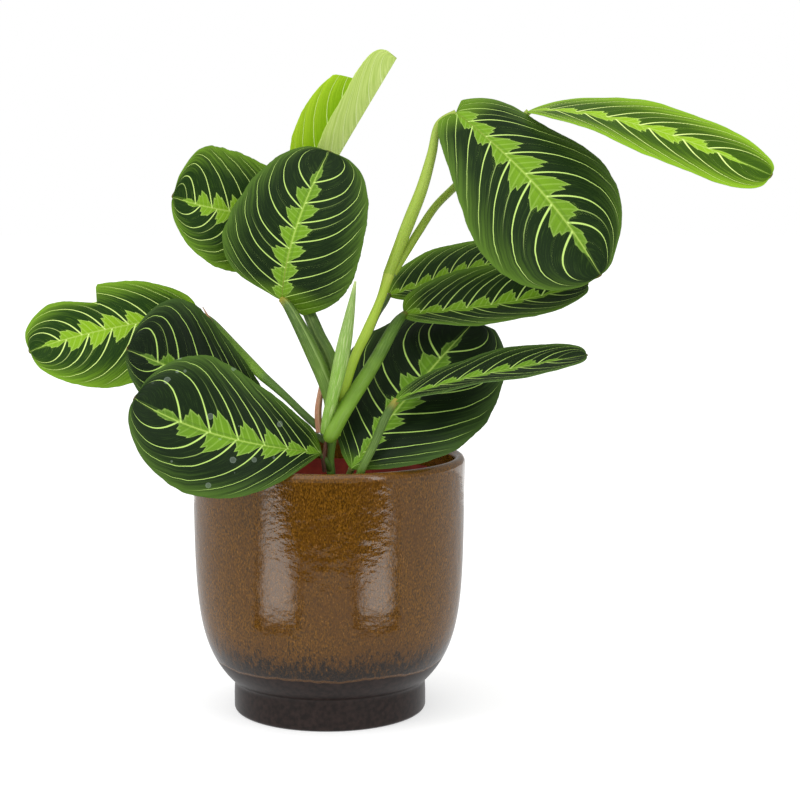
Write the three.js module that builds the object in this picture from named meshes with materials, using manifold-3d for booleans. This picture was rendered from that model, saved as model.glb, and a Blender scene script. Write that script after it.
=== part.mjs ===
// Potted prayer plant: a glazed stoneware cover pot, a plastic growing pot inside it, the soil,
// and one plant with its stems, leaf stalks, a rolled new leaf and twelve blades.
// Millimetres, +Z up. The origin is the centre of the pot's underside; +X is to the right and
// -Y is to the front, where most of the blades face.
import * as THREE from 'three';
import { mergeVertices } from 'three/addons/utils/BufferGeometryUtils.js';
import Module from 'manifold-3d';

const wasm = await Module();
wasm.setup();

// ---------------------------------------------------------------- driving dimensions
const SEAT_GAP = 0.3;          // clearance kept between pieces that rest on each other

// Cover pot: a straight foot, a belly that flares out of it, and a rolled lip.
const FOOT_RADIUS = 50;
const FOOT_HEIGHT = 16.5;
const FOOT_EDGE = 2;           // rounding of the bottom edge
const GROOVE_DEPTH = 0.7;      // shallow groove where the foot meets the belly
const BELLY_RADIUS = 70.1;
const FLARE = 19.3;            // how far the belly grows out of the foot
const FLARE_LENGTH = 18.7;     // height over which most of that growth happens
const RIM_FLARE = 0.5;
const RIM_FLARE_START = 100;
const POT_WALL = 6;
const LIP_HEIGHT = 129.5;      // where the rolled lip begins
const LIP_ROLL = 3.7;          // height of the roll above that
const POT_FLOOR = 8;
const POT_FLOOR_RADIUS = 43.5;
const POT_SIDES = 44;

// Growing pot: a thin tapered plastic pot that stands on the cover pot's floor.
const NURSERY_FOOT_RADIUS = 41;
const NURSERY_TOP_RADIUS = 59;
const NURSERY_TOP = 122;
const NURSERY_WALL = 1.3;
const NURSERY_FLOOR = 1.6;
const NURSERY_LIP = 1.6;       // how far the rim stands out
const NURSERY_LIP_HEIGHT = 4;
const NURSERY_SIDES = 32;
const DRAIN_RADIUS = 4;
const DRAIN_CIRCLE = 26;
const DRAIN_COUNT = 4;

// Soil, with a low crown.
const SOIL_EDGE = 109.5;
const SOIL_CROWN = 111;
const SOIL_SIDES = 32;
const ROOT_Z = 98;             // how deep the stems go into the soil

// Blades
const BLADE_THICKNESS = 0.8;
const BLADE_ROWS = 12;         // steps from base to tip
const BLADE_COLUMNS = 8;       // steps from edge to edge
const BLADE_END = 0.006;       // share of the rib left off at each end, where the width is nil
const TUBE_SIDES = 9;

// ---------------------------------------------------------------- materials
const material = (color, roughness) => new THREE.MeshStandardMaterial({ color, roughness, metalness: 0 });
const glaze = material(0x6e5030, 0.3);
const plastic = material(0x3e120b, 0.5);
const earth = material(0x2a1d14, 1);
const greenBlade = material(0x2f5a16, 0.45);
const youngBlade = material(0xa9c64a, 0.5);
const greenStem = material(0x85a63a, 0.5);
const sheathGreen = material(0x5b7a35, 0.55);
const driedTan = material(0x91744a, 0.9);

// ---------------------------------------------------------------- solids, cutting and joining
const plant = new THREE.Group();

function addNode(name, geometry, look) {
  const mesh = new THREE.Mesh(geometry, look);
  mesh.name = name;
  plant.add(mesh);
}

function toSolid(geometry) {
  const bare = geometry.clone();
  bare.deleteAttribute('normal');
  bare.deleteAttribute('uv');
  const merged = mergeVertices(bare, 1e-4);
  return new wasm.Manifold(new wasm.Mesh({
    numProp: 3,
    vertProperties: new Float32Array(merged.attributes.position.array),
    triVerts: new Uint32Array(merged.index.array),
  }));
}

function toGeometry(solid) {
  const mesh = solid.getMesh();
  const geometry = new THREE.BufferGeometry();
  geometry.setAttribute('position', new THREE.BufferAttribute(new Float32Array(mesh.vertProperties), 3));
  geometry.setIndex(new THREE.BufferAttribute(new Uint32Array(mesh.triVerts), 1));
  return geometry;
}

// The largest body that is left of a geometry after the cutters are taken away from it.
function cutBy(geometry, cutters) {
  let solid = toSolid(geometry);
  for (const cutter of cutters) {
    solid = solid.subtract(toSolid(cutter));
  }
  const bodies = solid.decompose();
  const largest = bodies.reduce((best, body) => (body.volume() > best.volume() ? body : best));
  return toGeometry(largest);
}

// A lathed solid with its axis along Z, from a profile of (radius, height) points.
function lathe(points, sides) {
  return new THREE.LatheGeometry(points, sides).rotateX(Math.PI / 2);
}

// A closed shell from rings of equal length: the first and last ring are capped with a fan.
function loft(rings) {
  const count = rings[0].length;
  const positions = rings.flat().flatMap((point) => point.toArray());
  const index = [];
  for (let ring = 0; ring < rings.length - 1; ring += 1) {
    for (let side = 0; side < count; side += 1) {
      const a = ring * count + side;
      const b = ring * count + ((side + 1) % count);
      index.push(a, b, a + count, b, b + count, a + count);
    }
  }
  const last = (rings.length - 1) * count;
  for (let side = 1; side < count - 1; side += 1) {
    index.push(0, side + 1, side);
    index.push(last, last + side, last + side + 1);
  }
  const geometry = new THREE.BufferGeometry();
  geometry.setAttribute('position', new THREE.Float32BufferAttribute(positions, 3));
  geometry.setIndex(index);
  return geometry;
}

// A round stem through the points [x, y, z, radius], made fatter all over by grow.
function stem(points, grow = 0) {
  const path = new THREE.CatmullRomCurve3(points.map(([x, y, z]) => new THREE.Vector3(x, y, z)));
  path.curveType = 'catmullrom';
  const steps = (points.length - 1) * 3;
  const frames = path.computeFrenetFrames(steps);
  const rings = [];
  for (let step = 0; step <= steps; step += 1) {
    const centre = path.getPointAt(step / steps);
    const place = path.getUtoTmapping(step / steps) * (points.length - 1);
    const before = Math.min(Math.floor(place), points.length - 2);
    const radius = THREE.MathUtils.lerp(points[before][3], points[before + 1][3], place - before) + grow;
    const overrun = step === 0 ? -grow : step === steps ? grow : 0;
    centre.addScaledVector(frames.tangents[step], overrun);
    const ring = [];
    for (let side = 0; side < TUBE_SIDES; side += 1) {
      const angle = (side / TUBE_SIDES) * 2 * Math.PI;
      ring.push(centre.clone()
        .addScaledVector(frames.normals[step], radius * Math.cos(angle))
        .addScaledVector(frames.binormals[step], radius * Math.sin(angle)));
    }
    rings.push(ring);
  }
  return loft(rings);
}

// ---------------------------------------------------------------- cover pot
function bellyRadius(z) {
  const flare = FLARE * Math.exp(-(z - FOOT_HEIGHT) / FLARE_LENGTH);
  const rim = Math.max(0, (z - RIM_FLARE_START) / (LIP_HEIGHT - RIM_FLARE_START));
  return BELLY_RADIUS - flare + RIM_FLARE * rim * rim;
}

function potProfile() {
  const profile = new THREE.Path();
  profile.moveTo(0, 0);
  profile.lineTo(FOOT_RADIUS - FOOT_EDGE, 0);
  profile.quadraticCurveTo(FOOT_RADIUS, 0, FOOT_RADIUS, FOOT_EDGE);
  profile.lineTo(FOOT_RADIUS, FOOT_HEIGHT - 2);
  profile.lineTo(FOOT_RADIUS - GROOVE_DEPTH, FOOT_HEIGHT - 1);
  const points = profile.getPoints(3);
  const heights = [FOOT_HEIGHT, 20, 25, 32, 41, 53, 69, 90, 112];
  heights.forEach((z) => points.push(new THREE.Vector2(bellyRadius(z), z)));
  const lipCentre = bellyRadius(LIP_HEIGHT) - POT_WALL / 2;
  const lip = new THREE.Path().absellipse(lipCentre, LIP_HEIGHT, POT_WALL / 2, LIP_ROLL, 0, Math.PI, false);
  points.push(...lip.getPoints(6));
  heights.reverse().filter((z) => z > FOOT_HEIGHT).forEach((z) => {
    points.push(new THREE.Vector2(bellyRadius(z) - POT_WALL, z));
  });
  points.push(new THREE.Vector2(POT_FLOOR_RADIUS, POT_FLOOR + 2));
  points.push(new THREE.Vector2(POT_FLOOR_RADIUS - 2, POT_FLOOR));
  points.push(new THREE.Vector2(0, POT_FLOOR));
  return points;
}
addNode('pot', lathe(potProfile(), POT_SIDES), glaze);

// ---------------------------------------------------------------- growing pot and soil
const nurseryFoot = POT_FLOOR + SEAT_GAP;
const nurseryFloor = nurseryFoot + NURSERY_FLOOR;
const nurseryTaper = (NURSERY_TOP_RADIUS - NURSERY_FOOT_RADIUS) / (NURSERY_TOP - nurseryFoot);
const nurseryRadius = (z) => NURSERY_FOOT_RADIUS + nurseryTaper * (z - nurseryFoot);

function nurseryPot() {
  const lipStart = NURSERY_TOP - NURSERY_LIP_HEIGHT;
  const profile = [
    [0, nurseryFoot],
    [NURSERY_FOOT_RADIUS, nurseryFoot],
    [nurseryRadius(lipStart), lipStart],
    [nurseryRadius(lipStart) + NURSERY_LIP, lipStart],
    [NURSERY_TOP_RADIUS + NURSERY_LIP, NURSERY_TOP],
    [NURSERY_TOP_RADIUS - NURSERY_WALL, NURSERY_TOP],
    [nurseryRadius(nurseryFloor) - NURSERY_WALL, nurseryFloor],
    [0, nurseryFloor],
  ].map(([radius, z]) => new THREE.Vector2(radius, z));
  const drains = [];
  for (let hole = 0; hole < DRAIN_COUNT; hole += 1) {
    const angle = ((hole + 0.5) / DRAIN_COUNT) * 2 * Math.PI;
    const drain = new THREE.CylinderGeometry(DRAIN_RADIUS, DRAIN_RADIUS, 3 * NURSERY_FLOOR, 12);
    drain.rotateX(Math.PI / 2);
    drain.translate(DRAIN_CIRCLE * Math.cos(angle), DRAIN_CIRCLE * Math.sin(angle), nurseryFloor);
    drains.push(drain);
  }
  return cutBy(lathe(profile, NURSERY_SIDES), drains);
}
addNode('nursery_pot', nurseryPot(), plastic);

// ---------------------------------------------------------------- stems and leaf stalks
// Each row: name, material, and the points [x, y, z, radius] from where it grows to its end.
const STEMS = [
  ['base_stem', greenStem,
    [[3, -38, ROOT_Z, 2.2], [3, -40, 118, 2.1], [2.5, -42, 130, 2.6], [2.5, -43, 138, 2], [3.5, -44.5, 149, 3.2]]],
  ['main_stem', greenStem,
    [[5, -43.5, 151, 2.4], [9.8, -41, 173, 2.5], [14.8, -37, 188, 2.4], [20.6, -32, 200, 2.6],
      [27, -26, 215, 2.2], [31, -22, 227, 2.8]]],
  ['left_stem', sheathGreen,
    [[0, -43, 149, 2], [-9, -36, 156.5, 1.9], [-21, -23, 166, 1.9], [-33.5, -10.5, 175, 2.5]]],
  ['stalk_right_middle', sheathGreen,
    [[6, -46, 150, 3.4], [13, -45, 164, 3.6], [24, -35, 184, 3.4], [34, -20, 201, 2.8], [38, -6, 205.4, 1.9]]],
  ['stalk_centre_left', sheathGreen,
    [[2, -46, 153, 2.6], [2.2, -45, 169, 3.7], [-8, -41, 193, 3.6], [-17.6, -35.5, 210.5, 2.6], [-21.5, -31, 214.5, 1.6]]],
  ['pair_sheath', sheathGreen,
    [[3.5, -40, 154, 2.2], [3.6, -37, 181, 3.1], [-4.4, -28, 198, 3.3], [-11, -19, 212, 3]]],
  ['new_leaf_spear', youngBlade,
    [[-1, -48.5, 152, 1.6], [5, -51, 173, 3], [9, -50, 191, 3.4], [12, -48, 207, 2.4], [15, -46, 225, 0.5]]],
  ['dried_sheath', driedTan,
    [[-3.6, -41, 151.5, 1.4], [-3.8, -40, 161, 1.5], [-1.9, -39, 174, 1]]],
  ['stalk_upper_left', sheathGreen,
    [[-12, -18, 211.5, 1.9], [-14, -8, 234, 1.7], [-15.5, 1, 252, 1.6]]],
  ['stalk_top_young', sheathGreen,
    [[-9.5, -17.5, 211.5, 2], [-10, 6, 234, 1.8], [-14, 25.5, 254, 1.6]]],
  ['stalk_right_big', sheathGreen,
    [[31, -22, 227.5, 2.6], [41.2, -20, 253, 3], [47.9, -16, 270, 2.8], [52.8, -9, 287, 2.3], [56.3, -1, 302, 1.8],
      [64.4, -1.6, 307.7, 1.5]]],
  ['stalk_far_right', greenStem,
    [[33, -20.5, 227.5, 2.2], [46.5, -14, 249, 2.1], [54.8, -8, 261, 2], [66, 3, 272, 2], [85.5, 21, 291.5, 1.9],
      [103, 21.4, 309.1, 1.7]]],
  ['stalk_right_back', sheathGreen,
    [[23, -29, 200.5, 1.6], [25.4, -8, 206, 1.3], [29, 13, 210.5, 1.3], [30.8, 24, 213.5, 1.3]]],
  ['stalk_far_left', sheathGreen,
    [[-34, -10, 175.4, 2.4], [-49, -2, 189, 3], [-61.3, 6, 201, 2.5], [-68.5, 11.5, 204.5, 1.7]]],
  ['stalk_left_middle', sheathGreen,
    [[0, -41.5, 145.5, 1.9], [-12, -25, 149, 1.8], [-26.5, -8.5, 154.8, 1.7]]],
  ['stalk_front_left', sheathGreen,
    [[2, -43.5, 131.5, 1.6], [0.2, -45.4, 136, 1.5], [-1.7, -45.9, 139.6, 1.4]]],
  ['stalk_right_lower', sheathGreen,
    [[6, -46, ROOT_Z, 1.9], [8, -49, 118, 1.8], [12.5, -54, 133, 1.6]]],
  ['stalk_right_narrow', sheathGreen,
    [[14, -46.5, ROOT_Z, 2.1], [15.5, -50, 115, 2.1], [16.2, -52.6, 123, 2], [18, -60.4, 134, 2],
      [24, -59, 146.2, 2], [30, -55, 160, 2.1], [34.5, -50.3, 166.6, 1.6]]],
];

const fatStems = [];
for (const [name, look, points] of STEMS) {
  const box = new THREE.Box3().setFromBufferAttribute(stem(points).getAttribute('position'));
  const near = fatStems.filter((fat) => fat.box.intersectsBox(box)).map((fat) => fat.geometry);
  addNode(name, cutBy(stem(points), near), look);
  const geometry = stem(points, SEAT_GAP);
  geometry.computeBoundingBox();
  fatStems.push({ name, geometry, box: geometry.boundingBox });
}

// The soil fills the growing pot and has a socket round each stem that roots in it.
function soil() {
  const bottom = nurseryFloor + SEAT_GAP;
  const inside = (z) => nurseryRadius(z) - NURSERY_WALL - SEAT_GAP;
  const profile = [
    [0, bottom],
    [inside(bottom), bottom],
    [inside(SOIL_EDGE), SOIL_EDGE],
    [inside(SOIL_EDGE) / 2, (SOIL_EDGE + SOIL_CROWN) / 2 + 0.4],
    [0, SOIL_CROWN],
  ].map(([radius, z]) => new THREE.Vector2(radius, z));
  const rooted = ['base_stem', 'stalk_right_lower', 'stalk_right_narrow'];
  const sockets = fatStems.filter((fat) => rooted.includes(fat.name)).map((fat) => fat.geometry);
  return cutBy(lathe(profile, SOIL_SIDES), sockets);
}
addNode('soil', soil(), earth);

// ---------------------------------------------------------------- blades
// rib: the four control points of the curve that the midrib follows, base to tip.
// face: the way the upper side looks, at the base and at the tip.
// wide: half widths that shape the outline from base to tip, left side then right side,
//       as seen with the tip up and the upper side in view.
// fold, curl: degrees that each half lifts at the midrib, and bends on towards its edge.
// back, reach: how far the edges run behind the base and ahead of the tip.
const BLADES = [
  { name: 'leaf_front_left', stalk: 'stalk_front_left',
    rib: [[-2, -46, 140], [-14, -72, 146], [-55, -84, 150], [-90, -70, 170]],
    face: [[-0.1, -0.95, 0.3], [-0.2, -0.9, 0.3]],
    wide: [[2, 14, 52, 24], [20, 18, 36, 53]], fold: [14, 8], curl: [-8, -20], back: [0, 4] },
  { name: 'leaf_left_middle', stalk: 'stalk_left_middle',
    rib: [[-27, -8, 155], [-45, -16, 168], [-75, -34, 180], [-99, -30, 190]],
    face: [[-0.1, -0.9, 0.45], [-0.2, -0.9, 0.3]],
    wide: [[16, 28, 36, 14], [4, 16, 36, 54]], curl: [-20, -20] },
  { name: 'leaf_far_left', stalk: 'stalk_far_left',
    rib: [[-69, 12, 205], [-95, 5, 202], [-130, 0, 196], [-152.5, -5, 187]],
    face: [[-0.1, -0.8, 0.6], [-0.2, -0.8, 0.6]],
    wide: [[26, 34, 36, 26], [20, 28, 26, 29]], fold: [-5, 18] },
  { name: 'leaf_centre_left', stalk: 'stalk_centre_left',
    rib: [[-22, -30, 215], [-20, -38, 238], [-12, -34, 262], [1, -12, 288]],
    face: [[0, -0.95, 0.2], [0, -0.9, 0.4]],
    wide: [[43, 38, 24, 36], [42, 36, 28, 42]], fold: [5, 5], back: [-5, 9] },
  { name: 'leaf_upper_left', stalk: 'stalk_upper_left',
    rib: [[-15, 2, 254], [-35, -6, 256], [-60, -14, 259], [-77.5, -12, 265.5]],
    face: [[-0.2, -0.9, 0.35], [-0.3, -0.9, 0.35]],
    wide: [[26, 32, 40, 11], [28, 33, 24, 51]] },
  { name: 'leaf_top_young', stalk: 'stalk_top_young', young: true,
    rib: [[-14, 27, 255], [2, 20, 284], [24, 12, 318], [35, 8, 336]],
    face: [[-1, -0.2, 0], [-1, -0.1, 0.25]],
    wide: [[14, 42, 18, 18], [26, 28, 20, 24]], fold: [80, 28], curl: [0, 20] },
  { name: 'leaf_right_big', stalk: 'stalk_right_big',
    rib: [[65, -2, 308], [84, -14, 292], [112, -38, 268], [134.5, -42, 228]],
    face: [[0.3, -0.75, 0.6], [0.4, -0.85, 0.4]],
    wide: [[65, 8, 88, 28], [30, 20, 57, 64]], fold: [4, 4], curl: [-25, -25], back: [7, 5] },
  { name: 'leaf_far_right', stalk: 'stalk_far_right',
    rib: [[103.5, 21, 309.5], [135, 8, 312.5], [180, -6, 296], [221.3, -20, 276.5]],
    face: [[0.1, -0.25, 0.95], [0.3, -0.75, 0.65]],
    wide: [[42, 26, 29, 24], [22, 26, 27, 38]], fold: [0, 4], curl: [0, 0],
    back: [1, 1], reach: [3, 3] },
  { name: 'leaf_right_back', stalk: 'stalk_right_back',
    rib: [[31, 25, 214], [50, 24, 220], [75, 20, 230], [98, 16, 234]],
    face: [[-0.2, -0.7, 0.7], [0, -0.7, 0.7]],
    wide: [[20, 20, 21, 17], [6, 16, 20, 17]], fold: [10, 10] },
  { name: 'leaf_right_middle', stalk: 'stalk_right_middle',
    rib: [[39, -5, 206], [66, -8, 208], [100, -12, 212], [131, -15, 222]],
    face: [[0, -0.6, 0.8], [0, -0.6, 0.8]],
    wide: [[26, 24, 25, 28], [14, 28, 24, 34]], fold: [22, 26] },
  { name: 'leaf_right_lower', stalk: 'stalk_right_lower',
    rib: [[13, -55, 134], [26, -52, 152], [50, -24, 178], [75, 8, 201]],
    face: [[-0.25, -0.8, 0.55], [0.2, -0.8, 0.6]],
    wide: [[8, 44, 50, 48], [10, 54, 34, 46]], fold: [-8, 20], curl: [-14, -45], back: [4, 0],
    reach: [2, 7] },
  { name: 'leaf_right_narrow', stalk: 'stalk_right_narrow',
    rib: [[35, -50, 167], [58, -54, 178], [95, -58, 184], [126.5, -60, 190]],
    face: [[0, -0.2, 0.98], [0, -0.25, 0.98]],
    wide: [[18, 22, 25, 26], [12, 14, 16, 24]], fold: [8, 2], curl: [0, 0] },
];
const USUAL = { fold: [8, 8], curl: [-12, -12], back: [4, 4], reach: [2, 2] };

// The half width at u, from a round-ended envelope and four blended widths.
function halfWidth([base, lower, upper, tip], u) {
  const w = 1 - u;
  const blend = w ** 3 * base + 3 * u * w * w * lower + 3 * u * u * w * upper + u ** 3 * tip;
  return 2 * Math.sqrt(u * w) * blend;
}

// A point of the blade: u runs from base to tip, v from the left edge (-1) to the right edge (1).
function bladePoint(leaf, u, v) {
  const rib = new THREE.CubicBezierCurve3(...leaf.rib.map((p) => new THREE.Vector3(...p)));
  const side = v > 0 ? 1 : 0;
  const along = rib.getTangent(u);
  const face = new THREE.Vector3(...leaf.face[0]).lerp(new THREE.Vector3(...leaf.face[1]), u);
  const across = along.clone().cross(face).normalize();
  const up = across.clone().cross(along);
  const fold = THREE.MathUtils.degToRad(leaf.fold[side]);
  const curl = THREE.MathUtils.degToRad(leaf.curl[side] || 0.1);
  const width = halfWidth(leaf.wide[side], u);
  const turned = fold + curl * Math.abs(v);
  const outward = width * (Math.sin(turned) - Math.sin(fold)) / curl;
  const lift = width * (Math.cos(fold) - Math.cos(turned)) / curl;
  const slide = v * v * (leaf.reach[side] * u * u - leaf.back[side] * (1 - u) ** 2);
  return rib.getPoint(u)
    .addScaledVector(across, Math.sign(v) * outward)
    .addScaledVector(up, lift)
    .addScaledVector(along, slide);
}

function bladeNormal(leaf, u, v) {
  const step = 0.01;
  const low = Math.max(u - step, BLADE_END / 2);
  const high = Math.min(u + step, 1 - BLADE_END / 2);
  const along = bladePoint(leaf, high, v).sub(bladePoint(leaf, low, v));
  const across = bladePoint(leaf, u, Math.min(v + step, 1)).sub(bladePoint(leaf, u, Math.max(v - step, -1)));
  return across.cross(along).normalize();
}

function blade(leaf) {
  const upper = [];
  const lower = [];
  for (let row = 0; row <= BLADE_ROWS; row += 1) {
    const eased = (1 - Math.cos((Math.PI * row) / BLADE_ROWS)) / 2;
    const u = BLADE_END + (1 - 2 * BLADE_END) * eased;
    for (let column = 0; column <= BLADE_COLUMNS; column += 1) {
      const v = (2 * column) / BLADE_COLUMNS - 1;
      const middle = bladePoint(leaf, u, v);
      const normal = bladeNormal(leaf, u, v);
      upper.push(middle.clone().addScaledVector(normal, BLADE_THICKNESS / 2));
      lower.push(middle.clone().addScaledVector(normal, -BLADE_THICKNESS / 2));
    }
  }
  const wide = BLADE_COLUMNS + 1;
  const under = upper.length;
  const index = [];
  for (let row = 0; row < BLADE_ROWS; row += 1) {
    for (let column = 0; column < BLADE_COLUMNS; column += 1) {
      const a = row * wide + column;
      index.push(a, a + 1, a + wide, a + 1, a + wide + 1, a + wide);
      index.push(under + a, under + a + wide, under + a + 1);
      index.push(under + a + 1, under + a + wide, under + a + wide + 1);
    }
  }
  const rim = (a, b) => index.push(a, under + a, b, b, under + a, under + b);
  for (let column = 0; column < BLADE_COLUMNS; column += 1) {
    rim(column, column + 1);
    rim(BLADE_ROWS * wide + column + 1, BLADE_ROWS * wide + column);
  }
  for (let row = 0; row < BLADE_ROWS; row += 1) {
    rim((row + 1) * wide, row * wide);
    rim(row * wide + BLADE_COLUMNS, (row + 1) * wide + BLADE_COLUMNS);
  }
  const geometry = new THREE.BufferGeometry();
  const positions = [...upper, ...lower].flatMap((point) => point.toArray());
  geometry.setAttribute('position', new THREE.Float32BufferAttribute(positions, 3));
  geometry.setIndex(index);
  return geometry;
}

for (const row of BLADES) {
  const leaf = { ...USUAL, ...row };
  const stalk = fatStems.find((fat) => fat.name === leaf.stalk);
  addNode(leaf.name, cutBy(blade(leaf), [stalk.geometry]), leaf.young ? youngBlade : greenBlade);
}

export default plant;
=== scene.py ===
import math
import random

import bmesh
import bpy
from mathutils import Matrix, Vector


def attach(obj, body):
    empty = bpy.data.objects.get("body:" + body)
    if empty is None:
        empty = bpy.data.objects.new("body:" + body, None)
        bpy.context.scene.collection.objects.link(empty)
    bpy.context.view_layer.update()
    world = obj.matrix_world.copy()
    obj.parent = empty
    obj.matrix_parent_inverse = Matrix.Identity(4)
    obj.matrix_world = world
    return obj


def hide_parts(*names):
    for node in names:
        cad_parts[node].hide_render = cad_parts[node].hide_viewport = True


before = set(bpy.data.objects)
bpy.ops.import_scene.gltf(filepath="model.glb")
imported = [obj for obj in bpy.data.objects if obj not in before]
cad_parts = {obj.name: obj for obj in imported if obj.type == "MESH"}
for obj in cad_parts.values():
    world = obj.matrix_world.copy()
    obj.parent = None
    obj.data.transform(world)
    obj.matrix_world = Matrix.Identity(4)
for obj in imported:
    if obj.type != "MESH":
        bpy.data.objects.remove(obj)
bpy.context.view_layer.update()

# -------- cover pot
# Footed cover pot, thrown in dark stoneware. The body is dipped in a runny amber-brown glaze that
# stops in a wavy line above the foot, which stays bare clay. The lip is rolled and glazed.
MM = 0.001
FOOT_RADIUS = 50 * MM
FOOT_HEIGHT = 16.5 * MM
FOOT_EDGE = 2 * MM
BELLY_RADIUS = 70.1 * MM
FLARE = 19.3 * MM
FLARE_LENGTH = 18.7 * MM
RIM_FLARE = 0.5 * MM
RIM_FLARE_START = 100 * MM
POT_WALL = 6 * MM
LIP_HEIGHT = 129.5 * MM
LIP_ROLL = 3.7 * MM
POT_FLOOR = 8 * MM
POT_FLOOR_RADIUS = 43.5 * MM
LEDGE_START = 13.8 * MM         # a tight hollow between these heights parts the foot from the belly
LEDGE_MIDDLE = 16.2 * MM
LEDGE_END = 17.6 * MM
LEDGE_STEPS = 10
BELLY_TOP = 112 * MM            # above here the outline needs few rings
BELLY_STEPS = 40
POT_SIDES = 200
GLAZE_LINE = 28.5 * MM          # mean height of the wavy line where the glaze stops
GLAZE_WAVE = 8 * MM
GLAZE_BEAD = 0.9 * MM           # half the height of the paler bead along that line
DARK_GLAZE_AND_SHADE = (47 * MM, 31 * MM)  # the glaze turns black from the first height down to the second: partly its own dark band, partly painted shade on the lower belly
DARK_RUNS = 46 * MM             # how far its dark runs reach up and down
THIN_GLAZE = (128.5 * MM, 132.5 * MM)  # it thins to a paler brown over the lip
ORANGE_PEEL = 0.45 * MM


def linear(red, green, blue):
    """An sRGB colour, 0 to 255, as the linear colour that a shader wants."""
    def channel(value):
        value = value / 255
        return value / 12.92 if value <= 0.04045 else ((value + 0.055) / 1.055) ** 2.4
    return (channel(red), channel(green), channel(blue), 1.0)


class Term:
    """A number or a direction in a node tree, so that a rule reads as plain arithmetic."""

    def __init__(self, tree, socket):
        self.tree = tree
        self.socket = socket

    def is_vector(self):
        return self.socket.type == "VECTOR"

    def node(self, kind, operation, *others):
        made = self.tree.nodes.new(kind)
        made.operation = operation
        for socket, value in zip(made.inputs, (self, *others)):
            put(self.tree, socket, value)
        return Term(self.tree, made.outputs[0])

    def math(self, operation, *others):
        return self.node("ShaderNodeMath", operation, *others)

    def either(self, operation, other):
        kind = "ShaderNodeVectorMath" if self.is_vector() else "ShaderNodeMath"
        return self.node(kind, operation, other)

    def __add__(self, other):
        return self.either("ADD", other)

    def __sub__(self, other):
        return self.either("SUBTRACT", other)

    def __rsub__(self, other):
        return (self * -1) + other

    def __mul__(self, other):
        if isinstance(other, Term) and other.is_vector():
            return other * self
        if not self.is_vector():
            return self.math("MULTIPLY", other)
        made = self.tree.nodes.new("ShaderNodeVectorMath")
        made.operation = "SCALE"
        put(self.tree, made.inputs[0], self)
        put(self.tree, made.inputs["Scale"], other)
        return Term(self.tree, made.outputs[0])

    def __truediv__(self, other):
        return self.math("DIVIDE", other)

    def __pow__(self, other):
        return self.math("POWER", other)

    __radd__ = __add__
    __rmul__ = __mul__

    def cross(self, other):
        return self.node("ShaderNodeVectorMath", "CROSS_PRODUCT", other)

    def unit(self):
        return self.node("ShaderNodeVectorMath", "NORMALIZE")

    def size(self):
        return self.math("ABSOLUTE")

    def fade(self, low, high):
        """0 below low and 1 above high, with a smooth change between them."""
        made = self.tree.nodes.new("ShaderNodeMapRange")
        made.interpolation_type = "SMOOTHSTEP"
        fill(self.tree, made, {"Value": self, "From Min": low, "From Max": high})
        return Term(self.tree, made.outputs[0])


def put(tree, socket, value):
    if isinstance(value, Term):
        tree.links.new(value.socket, socket)
    else:
        socket.default_value = value


def fill(tree, made, values):
    """Sets a node's inputs by name."""
    for label, value in values.items():
        put(tree, made.inputs[label], value)


def mix(tree, share, first, second):
    """A colour between first and second."""
    made = tree.nodes.new("ShaderNodeMix")
    made.data_type = "RGBA"
    for socket, value in ((made.inputs[0], share), (made.inputs[6], first), (made.inputs[7], second)):
        put(tree, socket, value)
    return Term(tree, made.outputs[2])


def noise(tree, place, scale, detail=2.0, roughness=0.5):
    """A cloudy value about 0.5."""
    made = tree.nodes.new("ShaderNodeTexNoise")
    fill(tree, made, {"Vector": place, "Scale": scale, "Detail": detail, "Roughness": roughness})
    return Term(tree, made.outputs["Fac"])


def given_by(tree, kind, output=0):
    """What a node without inputs gives."""
    return Term(tree, tree.nodes.new(kind).outputs[output])


def object_place(tree):
    return given_by(tree, "ShaderNodeTexCoord", "Object")


def stretched(tree, place, stretch):
    """A place multiplied along each axis."""
    made = tree.nodes.new("ShaderNodeVectorMath")
    made.operation = "MULTIPLY"
    put(tree, made.inputs[0], place)
    made.inputs[1].default_value = stretch
    return Term(tree, made.outputs[0])


def parts_of(tree, place):
    made = tree.nodes.new("ShaderNodeSeparateXYZ")
    put(tree, made.inputs[0], place)
    return [Term(tree, made.outputs[axis]) for axis in range(3)]


def combined(tree, x, y, z):
    made = tree.nodes.new("ShaderNodeCombineXYZ")
    for socket, value in zip(made.inputs, (x, y, z)):
        put(tree, socket, value)
    return Term(tree, made.outputs[0])


def bumps(tree, height, distance, strength=1.0):
    made = tree.nodes.new("ShaderNodeBump")
    fill(tree, made, {"Strength": strength, "Distance": distance, "Height": height})
    return Term(tree, made.outputs[0])


def finish_named(name):
    """A new material, its tree and its surface shader."""
    made = bpy.data.materials.new(name)
    made.use_nodes = True
    return made, made.node_tree, made.node_tree.nodes["Principled BSDF"]


def dress(tree, shader, colour, roughness, shine, normal):
    fill(tree, shader, {"Base Color": colour, "Roughness": roughness, "Specular IOR Level": shine,
                        "Normal": normal})


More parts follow.
